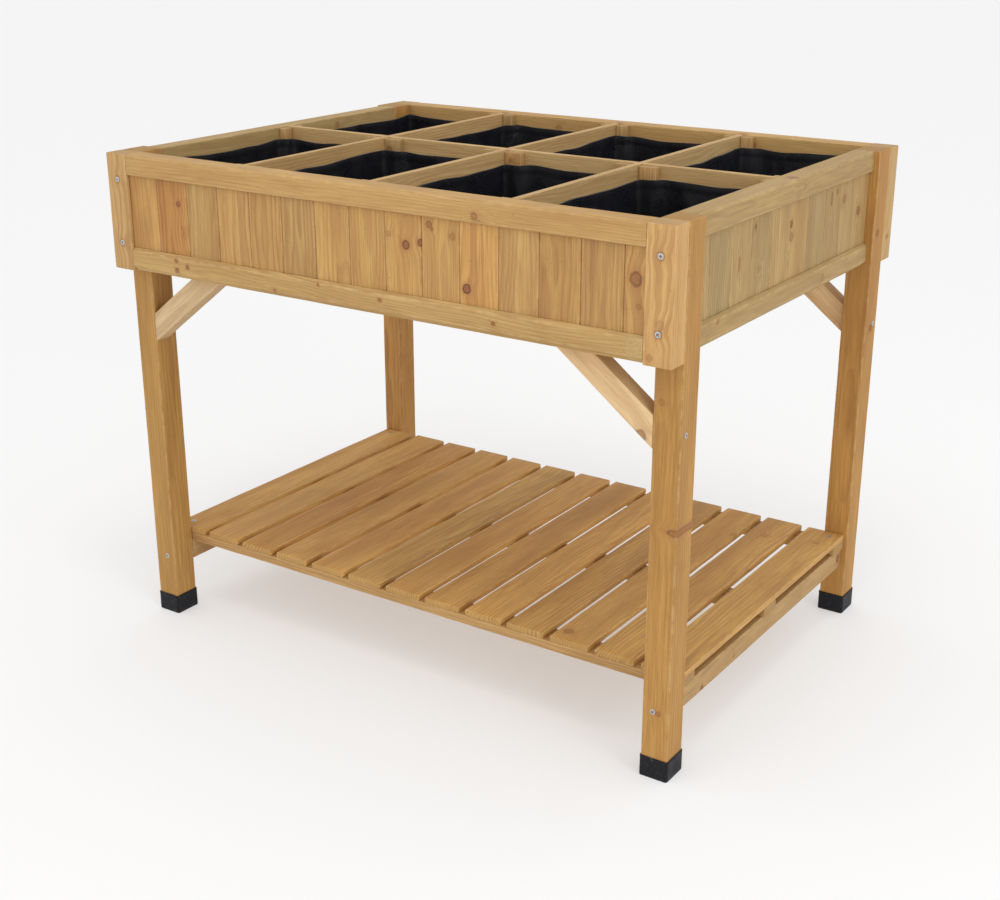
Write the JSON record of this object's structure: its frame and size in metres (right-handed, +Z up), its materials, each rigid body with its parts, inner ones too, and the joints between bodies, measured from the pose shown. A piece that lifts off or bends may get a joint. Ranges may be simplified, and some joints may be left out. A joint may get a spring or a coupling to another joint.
{
  "type": "raised planter on legs",
  "caption": "Waist-high timber planter: tongue-and-groove box on braced legs, slatted shelf below, lift-out dividers and cloth planting pockets.",
  "frame": {"origin": "middle of the footprint, on the ground under the foot caps", "axes": "+X along the length to the viewer's right, +Y from the front to the back, +Z up"},
  "size_m": [1.0034, 0.76, 0.8],
  "materials": {
    "frame_timber": "sawn and planed softwood, honey tint, satin",
    "shelf_timber": "planed softwood, brown tint, satin",
    "divider_timber": "planed softwood, pale, satin",
    "foot_cap": "moulded, matte",
    "pocket_cloth": "non-woven cloth, dull",
    "screw": "zinc plated"
  },
  "bodies": {
    "frame": {"leg_front_left": "frame_timber", "leg_front_right": "frame_timber", "leg_back_left": "frame_timber", "leg_back_right": "frame_timber", "front_cleat_left": "frame_timber", "front_cleat_right": "frame_timber", "front_top_rail": "frame_timber", "front_bottom_rail": "frame_timber", "front_boards": "frame_timber", "back_cleat_left": "frame_timber", "back_cleat_right": "frame_timber", "back_top_rail": "frame_timber", "back_bottom_rail": "frame_timber", "back_boards": "frame_timber", "left_top_rail": "frame_timber", "left_bottom_rail": "frame_timber", "left_boards": "frame_timber", "right_top_rail": "frame_timber", "right_bottom_rail": "frame_timber", "right_boards": "frame_timber", "brace_front_left": "frame_timber", "brace_front_right": "frame_timber", "brace_back_left": "frame_timber", "brace_back_right": "frame_timber", "floor_ledger_front": "frame_timber", "floor_ledger_back": "frame_timber", "floor_bearer": "frame_timber", "floor_slats": "frame_timber", "panel_guides": "frame_timber", "foot_cap_front_left": "foot_cap", "foot_cap_front_right": "foot_cap", "foot_cap_back_left": "foot_cap", "foot_cap_back_right": "foot_cap", "shelf_rail_left": "shelf_timber", "shelf_rail_right": "shelf_timber", "shelf_bearer_front": "shelf_timber", "shelf_bearer_middle": "shelf_timber", "shelf_bearer_back": "shelf_timber", "shelf_slats": "shelf_timber", "cleat_screws": "screw", "leg_screws": "screw", "brace_screws": "screw", "shelf_corner_screws": "screw", "shelf_slat_screws": "screw", "floor_screws": "screw"},
    "long_divider": {"long_divider": "divider_timber", "crossing_blocks": "divider_timber"},
    "cross_divider_1": {"cross_divider_1": "divider_timber"},
    "cross_divider_2": {"cross_divider_2": "divider_timber"},
    "cross_divider_3": {"cross_divider_3": "divider_timber"},
    "pocket_front_1": {"pocket_front_1": "pocket_cloth"},
    "pocket_front_2": {"pocket_front_2": "pocket_cloth"},
    "pocket_front_3": {"pocket_front_3": "pocket_cloth"},
    "pocket_front_4": {"pocket_front_4": "pocket_cloth"},
    "pocket_back_1": {"pocket_back_1": "pocket_cloth"},
    "pocket_back_2": {"pocket_back_2": "pocket_cloth"},
    "pocket_back_3": {"pocket_back_3": "pocket_cloth"},
    "pocket_back_4": {"pocket_back_4": "pocket_cloth"}
  },
  "joints": [
    {"name": "long_divider_lift", "type": "slide", "parent": "frame", "child": "long_divider", "axis": [0, 0, 1], "range_m": [0, 0.16]},
    {"name": "cross_divider_1_lift", "type": "slide", "parent": "long_divider", "child": "cross_divider_1", "axis": [0, 0, 1], "range_m": [0, 0.16]},
    {"name": "cross_divider_2_lift", "type": "slide", "parent": "long_divider", "child": "cross_divider_2", "axis": [0, 0, 1], "range_m": [0, 0.16]},
    {"name": "cross_divider_3_lift", "type": "slide", "parent": "long_divider", "child": "cross_divider_3", "axis": [0, 0, 1], "range_m": [0, 0.16]},
    {"name": "pocket_front_1_lift", "type": "slide", "parent": "frame", "child": "pocket_front_1", "axis": [0, 0, 1], "range_m": [0, 0.16]},
    {"name": "pocket_front_2_lift", "type": "slide", "parent": "frame", "child": "pocket_front_2", "axis": [0, 0, 1], "range_m": [0, 0.16]},
    {"name": "pocket_front_3_lift", "type": "slide", "parent": "frame", "child": "pocket_front_3", "axis": [0, 0, 1], "range_m": [0, 0.16]},
    {"name": "pocket_front_4_lift", "type": "slide", "parent": "frame", "child": "pocket_front_4", "axis": [0, 0, 1], "range_m": [0, 0.16]},
    {"name": "pocket_back_1_lift", "type": "slide", "parent": "frame", "child": "pocket_back_1", "axis": [0, 0, 1], "range_m": [0, 0.16]},
    {"name": "pocket_back_2_lift", "type": "slide", "parent": "frame", "child": "pocket_back_2", "axis": [0, 0, 1], "range_m": [0, 0.16]},
    {"name": "pocket_back_3_lift", "type": "slide", "parent": "frame", "child": "pocket_back_3", "axis": [0, 0, 1], "range_m": [0, 0.16]},
    {"name": "pocket_back_4_lift", "type": "slide", "parent": "frame", "child": "pocket_back_4", "axis": [0, 0, 1], "range_m": [0, 0.16]}
  ]
}
